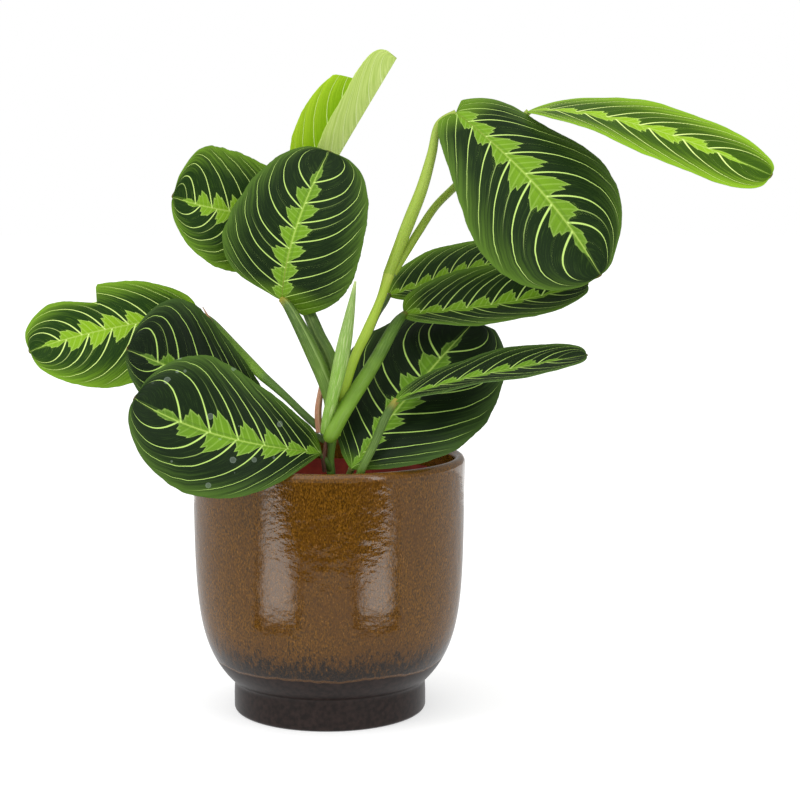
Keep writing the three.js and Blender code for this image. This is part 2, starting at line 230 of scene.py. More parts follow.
def glaze_finish():
    made, tree, shader = finish_named("amber_glaze")
    place = object_place(tree)
    height = parts_of(tree, place)[2]
    cloud = noise(tree, place, 22, 3)
    grain = noise(tree, stretched(tree, place, (1, 1, 0.5)), 1500, 2, 0.6)
    runs = noise(tree, stretched(tree, place, (1, 1, 0.28)), 620, 3, 0.65)
    body = mix(tree, grain.fade(0.3, 0.7), linear(53, 34, 4), linear(107, 70, 10))
    body = mix(tree, (cloud + runs - 0.5).fade(0.3, 0.75) * 0.7, body, linear(76, 47, 10))
    body = mix(tree, grain.fade(0.66, 0.74) * 0.5, body, linear(158, 112, 58))
    # Partly painted shade: the black towards the bottom is the glaze's own dark band, deepened over the
    # lower belly to stand in for its shade.
    thick = (height + (runs - 0.5) * DARK_RUNS).fade(*DARK_GLAZE_AND_SHADE)
    black = mix(tree, grain.fade(0.4, 0.65), linear(9, 6, 5), linear(38, 26, 16))
    body = mix(tree, thick * 0.96, body, black)
    thin = (height + (runs - 0.5) * (2 * MM)).fade(*THIN_GLAZE)
    body = mix(tree, thin * 0.12, body, linear(140, 96, 48))
    wave = noise(tree, stretched(tree, place, (1, 1, 0)), 30, 4, 0.6)
    above = height + (wave - 0.5) * GLAZE_WAVE - GLAZE_LINE
    edge = above.size().fade(GLAZE_BEAD, 0.2 * MM)
    clay = mix(tree, noise(tree, place, 400, 4).fade(0.3, 0.7), linear(26, 19, 17), linear(42, 31, 28))
    glazed = above.fade(-0.2 * MM, 0.2 * MM)
    colour = mix(tree, glazed, clay, body)
    colour = mix(tree, edge * 0.75, colour, linear(96, 68, 42))
    peel = noise(tree, stretched(tree, place, (1, 1, 1.3)), 120, 3, 0.55)
    relief = peel * glazed * 0.7 + grain * 0.05 + glazed * 0.35
    rough = 0.32 - glazed * 0.2 + (grain - 0.5) * 0.1
    dress(tree, shader, colour, rough, 0.24 + glazed * 0.26, bumps(tree, relief, ORANGE_PEEL))
    return made


def belly_radius(z):
    """The pot's outside radius at a height above its ledge."""
    flare = FLARE * math.exp(-(z - FOOT_HEIGHT) / FLARE_LENGTH)
    rim = max(0.0, (z - RIM_FLARE_START) / (LIP_HEIGHT - RIM_FLARE_START))
    return BELLY_RADIUS - flare + RIM_FLARE * rim * rim


def arc(centre, radii, start, end, steps):
    """Points (radius, height) along a quarter or half of an ellipse, angles in degrees."""
    angles = [math.radians(start + (end - start) * step / steps) for step in range(steps + 1)]
    return [(centre[0] + radii[0] * math.cos(a), centre[1] + radii[1] * math.sin(a)) for a in angles]


def turned_mesh(name, profile, sides):
    """A closed body turned about Z from a profile that starts and ends on the axis."""
    made = bmesh.new()
    rings = []
    for radius, z in profile:
        if radius < 1e-6:
            rings.append([made.verts.new((0, 0, z))])
            continue
        angles = [2 * math.pi * side / sides for side in range(sides)]
        rings.append([made.verts.new((radius * math.cos(a), radius * math.sin(a), z)) for a in angles])
    for lower, upper in zip(rings, rings[1:]):
        for side in range(sides):
            after = (side + 1) % sides
            corners = [lower[side % len(lower)], lower[after % len(lower)],
                       upper[after % len(upper)], upper[side % len(upper)]]
            made.faces.new(list(dict.fromkeys(corners)))
    bmesh.ops.recalc_face_normals(made, faces=made.faces)
    mesh = bpy.data.meshes.new(name)
    made.to_mesh(mesh)
    made.free()
    mesh.shade_smooth()
    mesh.set_sharp_from_angle(angle=math.radians(38))
    return mesh


def placed(name, data):
    made = bpy.data.objects.new(name, data)
    bpy.context.scene.collection.objects.link(made)
    return made


def add_piece(name, mesh, finish, slot, node=None):
    """Puts a finished mesh in the scene, in place of a node of the frame if one is named."""
    piece = placed(name, mesh)
    mesh.materials.clear()
    mesh.materials.append(finish)
    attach(piece, "root")
    if node:
        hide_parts(node)
    return piece


outside = [LEDGE_END + (BELLY_TOP - LEDGE_END) * (step / BELLY_STEPS) ** 1.5
           for step in range(BELLY_STEPS + 1)]
ledge = [Vector((FOOT_RADIUS - 0.25 * MM, LEDGE_START)), Vector((FOOT_RADIUS - 0.35 * MM, LEDGE_MIDDLE)),
         Vector((belly_radius(LEDGE_END), LEDGE_END))]
pot_profile = [(0, 0), (30 * MM, 0), (FOOT_RADIUS - FOOT_EDGE - 0.2 * MM, 0)]
pot_profile += arc((FOOT_RADIUS - FOOT_EDGE, FOOT_EDGE), (FOOT_EDGE, FOOT_EDGE), -90, 0, 6)
pot_profile += [(FOOT_RADIUS, 5 * MM), (FOOT_RADIUS, 9 * MM)]
for step in range(LEDGE_STEPS):
    share = step / LEDGE_STEPS
    inward = ledge[0].lerp(ledge[1], share)
    outward = ledge[1].lerp(ledge[2], share)
    pot_profile.append(tuple(inward.lerp(outward, share)))
pot_profile += [(belly_radius(z), z) for z in outside]
pot_profile += [(belly_radius(z), z) for z in (117 * MM, 122 * MM, 126 * MM)]
lip_centre = (belly_radius(LIP_HEIGHT) - POT_WALL / 2, LIP_HEIGHT)
pot_profile += arc(lip_centre, (POT_WALL / 2, LIP_ROLL), 0, 180, 18)
pot_profile += [(belly_radius(z) - POT_WALL, z) for z in reversed(outside[6:])]
pot_profile += [(POT_FLOOR_RADIUS, POT_FLOOR + 2 * MM), (POT_FLOOR_RADIUS - 2 * MM, POT_FLOOR)]
pot_profile.append((0, POT_FLOOR))
cover_pot = turned_mesh("cover_pot", pot_profile, POT_SIDES)
add_piece("cover_pot", cover_pot, glaze_finish(), "glaze", "pot")

# -------- growing pot
# Thin tapered pot in red-brown polypropylene, injection moulded, with a stiffening rim and drain
# holes. It stands loose on the cover pot's floor.
TOOL_MARKS = 1600               # radians of fine ringing for each metre of height


def plastic_finish():
    made, tree, shader = finish_named("growing_pot_plastic")
    place = object_place(tree)
    dust = noise(tree, place, 90, 4, 0.6)
    colour = mix(tree, dust.fade(0.35, 0.75), linear(92, 14, 4), linear(110, 28, 12))
    rings = (parts_of(tree, place)[2] * TOOL_MARKS).math("SINE")
    dress(tree, shader, colour, 0.5 + dust * 0.2, 0.12, bumps(tree, rings, 0.06 * MM, 0.5))
    return made


def smooth_copy(node, name):
    """The mesh of a node of the frame with its corners joined, so that it can be shaded smooth."""
    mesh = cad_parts[node].data.copy()
    mesh.name = name
    made = bmesh.new()
    made.from_mesh(mesh)
    bmesh.ops.remove_doubles(made, verts=made.verts, dist=1e-6)
    made.to_mesh(mesh)
    made.free()
    mesh.shade_smooth()
    mesh.set_sharp_from_angle(angle=math.radians(35))
    return mesh


growing_pot = smooth_copy("nursery_pot", "growing_pot")
add_piece("growing_pot", growing_pot, plastic_finish(), "plastic", "nursery_pot")

# -------- soil
# Damp peat and bark potting mix with white grains of perlite. It was poured in round the roots and
# has settled into a low crown about a centimetre under the growing pot's rim.
SOIL_EDGE = 109.5 * MM
SOIL_CROWN = 111 * MM
SOIL_BOTTOM = 10.2 * MM
SOIL_RADIUS = 55.4 * MM
SOIL_FOOT_RADIUS = 39.6 * MM
SOIL_RINGS = 60
SOIL_SIDES = 180
SOIL_SEED = 11
SOIL_ROUGH = (-0.8, 0.5)        # its surface's dips and rises, in mm
CRUMB_TURN = (6.28, 6.28, 6.28)  # at most, in radians about each axis
CRUMB_SMALLEST = (0.5, 0.4, 0.3)  # length, width and height as shares of the kind's own size
CRUMB_LARGEST = (1.6, 1.1, 0.8)


def soil_finish(name, dark, light):
    made, tree, shader = finish_named(name)
    place = object_place(tree)
    lumps = noise(tree, place, 260, 5, 0.65)
    colour = mix(tree, lumps.fade(0.3, 0.7), dark, light)
    dress(tree, shader, colour, 0.82 + lumps * 0.15, 0.5, bumps(tree, lumps, 1.2 * MM))
    return made


def group_with(name, inputs):
    """A geometry tree with named inputs, and those inputs as terms by name."""
    tree = bpy.data.node_groups.new(name, "GeometryNodeTree")
    tree.interface.new_socket(name="Geometry", in_out="INPUT", socket_type="NodeSocketGeometry")
    for label, kind in inputs.items():
        tree.interface.new_socket(name=label, in_out="INPUT", socket_type="NodeSocket" + kind)
    tree.interface.new_socket(name="Geometry", in_out="OUTPUT", socket_type="NodeSocketGeometry")
    entry = tree.nodes.new("NodeGroupInput")
    return tree, {socket.name: Term(tree, socket) for socket in entry.outputs if socket.name}


def chained(tree, kind, geometry, values=None, **settings):
    """Adds a geometry node after another one and returns the socket it puts out."""
    made = tree.nodes.new(kind)
    for label, value in settings.items():
        setattr(made, label, value)
    fill(tree, made, values or {})
    if geometry is not None:
        tree.links.new(geometry, made.inputs[0])
    return made.outputs[0]


def stored(tree, geometry, label, value):
    """Keeps a value on the geometry under a name, for its material to read."""
    values = {"Name": label, "Value": value}
    return chained(tree, "GeometryNodeStoreNamedAttribute", geometry, values, data_type="FLOAT")


def closed_off(tree, geometry, finish):
    """The usual end of a tree: real geometry, smooth, with its material."""
    geometry = chained(tree, "GeometryNodeRealizeInstances", geometry)
    geometry = chained(tree, "GeometryNodeSetShadeSmooth", geometry)
    geometry = chained(tree, "GeometryNodeSetMaterial", geometry, {"Material": finish})
    tree.links.new(geometry, tree.nodes.new("NodeGroupOutput").inputs[0])


def grown(name, data, tree, values):
    """Runs a geometry tree on an object's data and returns the plain mesh that comes out."""
    carrier = placed(name + "_carrier", data)
    modifier = carrier.modifiers.new("tree", "NODES")
    modifier.node_group = tree
    for item in tree.interface.items_tree:
        if item.in_out == "INPUT" and item.name in values:
            modifier[item.identifier] = values[item.name]
    depsgraph = bpy.context.evaluated_depsgraph_get()
    mesh = bpy.data.meshes.new_from_object(carrier.evaluated_get(depsgraph), depsgraph=depsgraph)
    mesh.name = name
    bpy.data.objects.remove(carrier)
    return mesh


def soil_body():
    """The soil's own surface: a closed cone with a rough crown."""
    shares = [step / SOIL_RINGS for step in range(SOIL_RINGS + 1)]
    top = [(SOIL_RADIUS * share, SOIL_CROWN + (SOIL_EDGE - SOIL_CROWN) * share ** 2) for share in shares]
    profile = [(0, SOIL_BOTTOM), (SOIL_FOOT_RADIUS, SOIL_BOTTOM)] + top[::-1]
    mesh = turned_mesh("soil", profile, SOIL_SIDES)
    chance = random.Random(SOIL_SEED)
    for vertex in mesh.vertices:
        reach = math.hypot(vertex.co.x, vertex.co.y)
        if vertex.co.z > SOIL_EDGE - MM and reach < SOIL_RADIUS - MM:
            vertex.co.z += chance.uniform(*SOIL_ROUGH) * MM
    return mesh


def crumbs_tree():
    """Scatters crumbs of one kind over the top of the soil."""
    inputs = {"Crumb": "Float", "Density": "Float", "Seed": "Int", "Finish": "Material"}
    tree, given = group_with("soil_crumbs", inputs)
    up = parts_of(tree, given_by(tree, "GeometryNodeInputNormal"))[2]
    chosen = up.math("GREATER_THAN", 0.6)
    scatter = {"Density": given["Density"], "Seed": given["Seed"], "Selection": chosen}
    points = chained(tree, "GeometryNodeDistributePointsOnFaces", given["Geometry"].socket, scatter)
    stone = tree.nodes.new("GeometryNodeMeshIcoSphere")
    fill(tree, stone, {"Subdivisions": 2, "Radius": given["Crumb"]})
    here = given_by(tree, "GeometryNodeInputPosition")
    dent = noise(tree, here, 420, 1)
    rough = chained(tree, "GeometryNodeSetPosition", stone.outputs[0], {"Position": here * (dent + 0.45)})
    turn = tree.nodes.new("FunctionNodeRandomValue")
    turn.data_type = "FLOAT_VECTOR"
    turn.inputs[1].default_value = CRUMB_TURN
    put(tree, turn.inputs["Seed"], given["Seed"])
    grow = tree.nodes.new("FunctionNodeRandomValue")
    grow.data_type = "FLOAT_VECTOR"
    grow.inputs[0].default_value = CRUMB_SMALLEST
    grow.inputs[1].default_value = CRUMB_LARGEST
    put(tree, grow.inputs["Seed"], given["Seed"] + 7)
    values = {"Instance": Term(tree, rough), "Scale": Term(tree, grow.outputs[0])}
    crumbs = chained(tree, "GeometryNodeInstanceOnPoints", points, values)
    crumbs = chained(tree, "GeometryNodeRotateInstances", crumbs, {"Rotation": Term(tree, turn.outputs[0])})
    closed_off(tree, crumbs, given["Finish"])
    return tree


potting_mix = soil_finish("potting_mix", linear(24, 16, 11), linear(62, 43, 29))
soil = add_piece("potting_soil", soil_body(), potting_mix, "soil", "soil")
crumbs = crumbs_tree()
# Each kind of crumb: radius, number for each square metre, seed and material.
CRUMBS = {
    "peat_crumbs": (1.3 * MM, 90000, 3, soil_finish("peat", linear(30, 20, 13), linear(74, 52, 35))),
    "bark_chips": (2.3 * MM, 9000, 5, soil_finish("bark", linear(60, 36, 20), linear(112, 72, 42))),
    "perlite": (1.2 * MM, 7000, 8, soil_finish("perlite", linear(176, 170, 158), linear(226, 222, 212))),
}
for name, (crumb, density, seed, finish) in CRUMBS.items():
    values = {"Crumb": crumb, "Density": float(density), "Seed": seed, "Finish": finish}
    add_piece(name, grown(name, soil.data.copy(), crumbs, values), finish, "soil")

# -------- stems and leaf stalks
# Jointed green stems that swell at each node, and the leaf stalks that leave them. The lower part
# of a stalk is a folded sheath with a thin overlapping edge, and its top end is a smooth thickened
# joint under the blade.
TUBE_STEP = 0.9 * MM
TUBE_SIDES = 28
TUBE_CURVE_STEPS = 12
RIBS = 9
RIB_HEIGHT = 0.015              # as a share of the stem's radius
OVERLAP_TURN = 0.3              # where round the stem a sheath's free edge lies, as a share of a turn


def tube_tree():
    """A tube along a curve, ribbed lengthwise, with a sheath's overlapping edge on one side."""
    inputs = {"Overlap": "Float", "Finish": "Material"}
    tree, given = group_with("stem_tube", inputs)
    line = chained(tree, "GeometryNodeCurveSplineType", given["Geometry"].socket, spline_type="CATMULL_ROM")
    line = chained(tree, "GeometryNodeSetSplineResolution", line, {"Resolution": TUBE_CURVE_STEPS})
    line = chained(tree, "GeometryNodeResampleCurve", line, {"Length": TUBE_STEP}, mode="LENGTH")
    along = given_by(tree, "GeometryNodeSplineParameter", "Factor")
    line = stored(tree, line, "along", along)
    ring = tree.nodes.new("GeometryNodeCurvePrimitiveCircle")
    fill(tree, ring, {"Resolution": TUBE_SIDES, "Radius": 1.0})
    around = given_by(tree, "GeometryNodeSplineParameter", "Factor")
    ring = stored(tree, ring.outputs[0], "around", around)
    turn = (around + OVERLAP_TURN).math("FRACT")
    ribs = (around * (2 * math.pi * RIBS)).math("SINE") * RIB_HEIGHT
    grow = 1 + ribs + given["Overlap"] * (1 - turn).math("POWER", 3)
    here = given_by(tree, "GeometryNodeInputPosition")
    ring = chained(tree, "GeometryNodeSetPosition", ring, {"Position": here * grow})
    made = tree.nodes.new("GeometryNodeCurveToMesh")
    tree.links.new(line, made.inputs["Curve"])
    tree.links.new(ring, made.inputs["Profile Curve"])
    put(tree, made.inputs["Scale"], given_by(tree, "GeometryNodeInputRadius"))
    made.inputs["Fill Caps"].default_value = True
    closed_off(tree, made.outputs[0], given["Finish"])
    return tree


def attribute(tree, label):
    """A value that a geometry tree kept on the piece."""
    made = tree.nodes.new("ShaderNodeAttribute")
    made.attribute_name = label
    return Term(tree, made.outputs["Fac"])


def stem_finish(name, low, high, edge, joint):
    """A stem: low and high are its colours along its length, edge that of its ribs, joint its end's."""
    made, tree, shader = finish_named(name)
    place = object_place(tree)
    along = attribute(tree, "along")
    around = attribute(tree, "around")
    cloud = noise(tree, place, 120, 3)
    threads = noise(tree, combined(tree, around * 60, along * 9, 0.0), 1.0, 3, 0.6)
    colour = mix(tree, (along + (cloud - 0.5) * 0.5).fade(0.1, 0.9), low, high)
    colour = mix(tree, threads.fade(0.45, 0.75) * 0.55, colour, edge)
    turn = (around + OVERLAP_TURN).math("FRACT")
    colour = mix(tree, turn.fade(0.06, 0.0) * 0.7, colour, edge)
    colour = mix(tree, along.fade(0.9, 1.0) * 0.8, colour, joint)
    relief = bumps(tree, threads + cloud * 0.5, 0.25 * MM, 0.7)
    dress(tree, shader, colour, 0.42 + cloud * 0.16, 0.3, relief)
    fill(tree, shader, {"Subsurface Weight": 0.12, "Subsurface Radius": (0.6, 1.0, 0.2),
                        "Subsurface Scale": 1.5 * MM})
    return made


# Each stem material: the colours low down, high up, on its ribs and at its upper joint.
STEM_COLOURS = {
    "fresh_stem": ((134, 164, 34), (146, 172, 46), (174, 194, 92), (160, 176, 70)),
    "light_stalk": ((134, 160, 44), (146, 168, 66), (170, 190, 96), (150, 166, 72)),
    "left_stem_green": ((62, 90, 28), (78, 112, 34), (100, 126, 58), (104, 142, 44)),
    "green_sheath": ((88, 120, 32), (64, 92, 28), (126, 150, 80), (160, 146, 58)),
    "deep_green_stalk": ((66, 92, 28), (60, 86, 26), (98, 122, 56), (90, 82, 36)),
    "bright_sheath": ((110, 148, 38), (66, 98, 26), (122, 148, 72), (116, 112, 38)),
    "pale_new_leaf": ((112, 156, 40), (116, 148, 66), (216, 226, 172), (176, 190, 126)),
    "papery_tan": ((168, 118, 88), (176, 130, 100), (196, 160, 130), (140, 100, 74)),
    "brown_husk": ((62, 34, 24), (84, 48, 34), (150, 118, 88), (96, 60, 42)),
}
stem_finishes = {}
for name, colours in STEM_COLOURS.items():
    stem_finishes[name] = stem_finish(name, *[linear(*colour) for colour in colours])

# Each row: node, material, slot, sheath overlap, and the points (x, y, z, radius) in millimetres.
# The last two are dried tips of old sheaths that have no node of their own.
STEMS = [
    ("base_stem", "left_stem_green", "stem", 0.0,
     [(3, -38, 98, 2.1), (3, -40, 118, 2), (2.5, -42, 130, 2.2), (2.5, -43, 138, 1.7),
      (3.5, -44.5, 149, 2.4)]),
    ("main_stem", "fresh_stem", "stem", 0.0,
     [(5, -43.5, 149, 2.4), (9.8, -41, 173, 2.5), (14.8, -37, 188, 2.4), (20.6, -32, 200, 2.6),
      (27, -26, 215, 2.2), (31, -22, 227, 2.8)]),
    ("left_stem", "left_stem_green", "stem", 0.0,
     [(2, -43.5, 148.5, 2), (-9, -36, 156.5, 1.9), (-21, -23, 166, 1.9), (-33.5, -10.5, 175, 2.5)]),
    ("stalk_right_middle", "bright_sheath", "sheath", 0.1,
     [(1.8, -46.4, 146.6, 2.4), (2.6, -47, 149.4, 3.9), (5.6, -46.8, 155.5, 4.1), (10.8, -45.6, 164, 3.8),
      (24, -35, 184, 3.4), (34, -20, 201, 2.8), (39, -5, 206, 1.9)]),
    ("stalk_centre_left", "green_sheath", "sheath", 0.14,
     [(3, -45.5, 150, 2.6), (2.2, -45, 169, 3.7), (-8, -41, 193, 3.6), (-17.6, -35.5, 210.5, 2.6),
      (-22, -30, 215, 1.6)]),
    ("pair_sheath", "green_sheath", "sheath", 0.14,
     [(3.5, -42, 152, 2.2), (3.6, -37, 181, 3.1), (-4.4, -28, 198, 3.3), (-11, -19, 212, 3)]),
    ("new_leaf_spear", "pale_new_leaf", "young_leaf", 0.2,
     [(-1, -47.6, 150.5, 1.3), (0.4, -48.6, 156, 2.1), (5, -51, 173, 3), (9, -50, 191, 3.4),
      (12, -48, 207, 2.4), (15, -46, 225, 0.5)]),
    ("dried_sheath", "papery_tan", "dried", 0.1,
     [(-3.2, -42, 150, 1.6), (-3.8, -40, 161, 1.7), (-1.9, -39, 174, 1.2)]),
    ("stalk_upper_left", "green_sheath", "sheath", 0.0,
     [(-12, -18, 211.5, 1.9), (-14, -8, 234, 1.7), (-15, 2, 254, 1.6)]),
    ("stalk_top_young", "green_sheath", "sheath", 0.0,
     [(-9.5, -17.5, 211.5, 2), (-10, 6, 234, 1.8), (-14, 27, 255, 1.6)]),
    ("stalk_right_big", "light_stalk", "sheath", 0.12,
     [(31, -22, 227, 2.6), (41.2, -20, 253, 3), (47.9, -16, 270, 2.8), (52.8, -9, 287, 2.3),
      (56.3, -1, 302, 1.8), (65, -2, 308, 1.5)]),
    ("stalk_far_right", "light_stalk", "stem", 0.0,
     [(33, -20.5, 227.5, 2.2), (46.5, -14, 249, 2.1), (54.8, -8, 261, 2), (66, 3, 272, 2),
      (85.5, 21, 291.5, 1.9), (103.5, 21, 309.5, 1.7)]),
    ("stalk_right_back", "deep_green_stalk", "sheath", 0.0,
     [(22, -31, 200, 1.6), (25.4, -8, 206, 1.3), (29, 13, 210.5, 1.3), (31, 25, 214, 1.3)]),
    ("stalk_far_left", "bright_sheath", "sheath", 0.1,
     [(-33.5, -10.5, 175, 2.4), (-49, -2, 189, 3), (-61.3, 6, 201, 2.5), (-69, 12, 205, 1.7)]),
    ("stalk_left_middle", "deep_green_stalk", "sheath", 0.0,
     [(2, -43, 145.5, 1.9), (-12, -25, 149, 1.8), (-27, -8, 155, 1.7)]),
    ("stalk_front_left", "deep_green_stalk", "sheath", 0.0,
     [(2.5, -42.5, 131, 1.6), (0.2, -45.4, 136, 1.5), (-2, -46, 140, 1.4)]),
    ("stalk_right_lower", "deep_green_stalk", "sheath", 0.0,
     [(6, -46, 98, 1.9), (8, -49, 118, 1.8), (13, -55, 134, 1.6)]),
    ("stalk_right_narrow", "green_sheath", "sheath", 0.06,
     [(14, -46.5, 98, 2.1), (15.5, -50, 115, 2.1), (16.2, -52.6, 123, 2), (18, -60.4, 134, 2),
      (24, -59, 146.2, 2), (30, -55, 160, 2.1), (35, -50, 167, 1.6)]),
    ("sheath_point", "papery_tan", "dried", 0.0,
     [(-57.8, 1.8, 197.5, 0.9), (-61.6, 3.4, 203.4, 0.6), (-65.1, 5, 209.2, 0.2)]),
    ("old_husk", "brown_husk", "dried", 0.3,
     [(-0.6, -45.6, 131, 0.9), (-0.9, -46.2, 137, 1.1), (-0.2, -46.6, 143, 0.9), (0.6, -47.4, 149.5, 0.6)]),
]
tube = tube_tree()
for node, finish_name, slot, overlap, points in STEMS:
    finish = stem_finishes[finish_name]
    line = bpy.data.curves.new(node + "_line", "CURVE")
    line.dimensions = "3D"
    spline = line.splines.new("POLY")
    spline.points.add(len(points) - 1)
    for point, (x, y, z, radius) in zip(spline.points, points):
        point.co = (x * MM, y * MM, z * MM, 1)
        point.radius = radius * MM
    mesh = grown("grown_" + node, line, tube, {"Overlap": overlap, "Finish": finish})
    add_piece("grown_" + node, mesh, finish, slot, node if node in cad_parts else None)

# -------- leaf blades
# Twelve living blades, each about half a millimetre thick, quilted between the side veins. A lime
# band with toothed lobes runs along the midrib on dark green, crossed by thin pale veins that
# bend towards the tip. The undersides are pale and silvery.
BLADE_THICKNESS = 0.5 * MM
BLADE_ROWS = 132
BLADE_ROUND = 176
EDGE_WAVE = 0.6 * MM            # the margin's slow waves, and how many run from base to tip
EDGE_WAVES = 2.5
RIPPLES = 11                    # bays along a margin, and their depth as a share of its width
RIPPLE = 0.07
NICKS = 43                      # the same for small nicks
NICK = 0.03
QUILT = 0.35 * MM               # how far the blade bulges between its side veins
VEIN_SLANT = 0.17               # how far a side vein leans to the tip, and how it bends there,
VEIN_BEND = 0.27                # as shares of the blade's length
BEND_POWER = 3.2                # how close to the margin that bend comes
KEEL_WIDTH = 1.3 * MM           # the midrib stands proud underneath
KEEL_HEIGHT = 0.9 * MM
NARROW = 90                     # 1 over the half width, in metres, below which the margin's slide fades
THIN = 600                      # the same for the thickness
MERGE_DISTANCE = 0.02 * MM
DEGREE = math.pi / 180
# What else differs between a blade's halves, and its unit.
HALF_UNITS = {"Fold": DEGREE, "Curl": DEGREE, "Back": MM, "Reach": MM, "Shift": 1.0, "Blunt": 1.0}


def blade_tree():
    """A closed blade: a grid wrapped round the midrib, upper side first, then the underside."""
    halves = ["Width %d" % point for point in range(4)] + list(HALF_UNITS)
    inputs = {"Rib %d" % point: "Vector" for point in range(4)}
    inputs.update({"Face at base": "Vector", "Face at tip": "Vector"})
    for half in ("left", "right"):
        inputs.update({"%s %s" % (label, half): "Float" for label in halves})
    inputs.update({label: "Float" for label in (
        "Tear side", "Tear at", "Tear depth", "Tear length", "Tear run",
        "Nib", "Veins", "Band", "Bright", "Young", "Dusty", "Seed")})
    inputs["Finish"] = "Material"
    tree, given = group_with("leaf_blade", inputs)
    grid = tree.nodes.new("GeometryNodeMeshGrid")
    fill(tree, grid, {"Vertices X": BLADE_ROWS + 1, "Vertices Y": BLADE_ROUND + 1})

    # u runs from base to tip. v runs from the left margin, -1, over the midrib to the right one.
    across = parts_of(tree, Term(tree, grid.outputs["UV Map"]))
    u = (1 - (across[0] * math.pi).math("COSINE")) * 0.5
    angle = across[1] * (2 * math.pi)
    reach = angle.math("COSINE") * -1
    v = reach * (reach.size() ** 0.4)
    t = v.size()
    right = v.math("GREATER_THAN", 0.0)
    sign = right * 2 - 1
    rest = 1 - u

    def half(label):
        return given[label + " left"] + (given[label + " right"] - given[label + " left"]) * right

    def swept(points):
        """A value that four points drive along the blade."""
        return (points[0] * (rest ** 3) + points[1] * (3 * u * rest * rest)
                + points[2] * (3 * u * u * rest) + points[3] * (u ** 3))

    # The midrib, and the blade's turn about it from base to tip.
    ribs = [given["Rib %d" % point] for point in range(4)]
    middle = swept(ribs)
    along = ((ribs[1] - ribs[0]) * (rest * rest) + (ribs[2] - ribs[1]) * (2 * u * rest)
             + (ribs[3] - ribs[2]) * (u * u)).unit()
    face = given["Face at base"] + (given["Face at tip"] - given["Face at base"]) * u
    sideways = along.cross(face).unit()
    up = sideways.cross(along)

    # The outline of each half, with its torn notch, ripples and nicks.
    width = u.math("MAXIMUM", 0.0).math("SQRT") * (rest.math("MAXIMUM", 0.0) ** half("Blunt")) * 2
    width = width * swept([half("Width %d" % point) for point in range(4)])
    torn = (sign * given["Tear side"]).math("GREATER_THAN", 0.5) * given["Tear depth"]
    torn = torn * u.fade(given["Tear at"] - given["Tear run"], given["Tear at"] + given["Tear run"])
    bite = 1 - torn * u.fade(given["Tear at"] + given["Tear length"], given["Tear at"])
    ripple = noise(tree, combined(tree, u * RIPPLES, sign * 3, given["Seed"]), 1.0, 2)
    nick = noise(tree, combined(tree, u * NICKS, sign * 5, given["Seed"]), 1.0, 3)
    width = width * bite * (1 + (ripple - 0.5) * RIPPLE + (nick - 0.5) * NICK)
    inner = t * bite

    # Each half folds up from the midrib and curls towards its margin.
    fold = half("Fold")
    curl = half("Curl")
    turned = fold + curl * t
    outward = (turned.math("SINE") - fold.math("SINE")) / curl * sign
    lift = (fold.math("COSINE") - turned.math("COSINE")) / curl
    slide = t * t * (half("Reach") * u * u - half("Back") * rest * rest)
    slide = slide * (width * NARROW).math("MINIMUM", 1.0)

    # root is where the side vein through a point leaves the midrib, and phase counts those veins.
    root = u - inner * VEIN_SLANT - (inner ** BEND_POWER) * VEIN_BEND
    phase = given["Veins"] * root + half("Shift")
    quilt = (phase * math.pi).math("SINE").size() ** 0.6 - 0.6
    quilt = quilt * QUILT * (t * (1.15 - t)) * 3
    wave = (u * EDGE_WAVES * (2 * math.pi) + right * 1.6 + given["Seed"]).math("SINE")
    wave = wave * EDGE_WAVE * t * t * (u * math.pi).math("SINE")
    nib = ((u - 1) / 0.001 + 1).math("MAXIMUM", 0.0) ** 1.5 * given["Nib"]
    body = middle + sideways * (width * outward) + up * (width * lift) + along * (slide + nib)
    skin = up * turned.math("COSINE") - sideways * (turned.math("SINE") * sign)
    turn = angle.math("SINE")
    ends = (width * THIN).math("MINIMUM", 1.0)
    thick = (turn.size() ** 0.3) * turn.math("SIGN") * (BLADE_THICKNESS / 2) * ends
    under = turn.math("LESS_THAN", 0.0)
    keel = under * (1 - (t * width / KEEL_WIDTH).math("MINIMUM", 1.0)) ** 2 * rest * ends * -KEEL_HEIGHT
    place = body + skin * (quilt * ends + wave + thick + keel)
    geometry = grid.outputs["Mesh"]
    kept = {"phase": phase, "root": root, "side": v * bite, "length": u, "edge": (1 - t) * width,
            "under": under}
    kept.update({label.lower(): given[label] for label in ("Band", "Bright", "Young", "Seed", "Dusty")})
    for label, value in kept.items():
        geometry = stored(tree, geometry, label, value)
    geometry = chained(tree, "GeometryNodeSetPosition", geometry, {"Position": place})
    geometry = chained(tree, "GeometryNodeMergeByDistance", geometry, {"Distance": MERGE_DISTANCE})
    closed_off(tree, geometry, given["Finish"])
    return tree


# The lime band's teeth in each gap between two side veins: where each stands beside the tallest, how
# far it rises towards the tip and falls again, and its height.
TEETH = [(0.0, 0.34, 0.13, 0.42), (-0.27, 0.14, 0.07, 0.2), (0.22, 0.14, 0.08, 0.22)]
HALF_BLADE = 28 * MM            # a usual half width, for lines that keep their width near the midrib
DROP_CELLS = 190


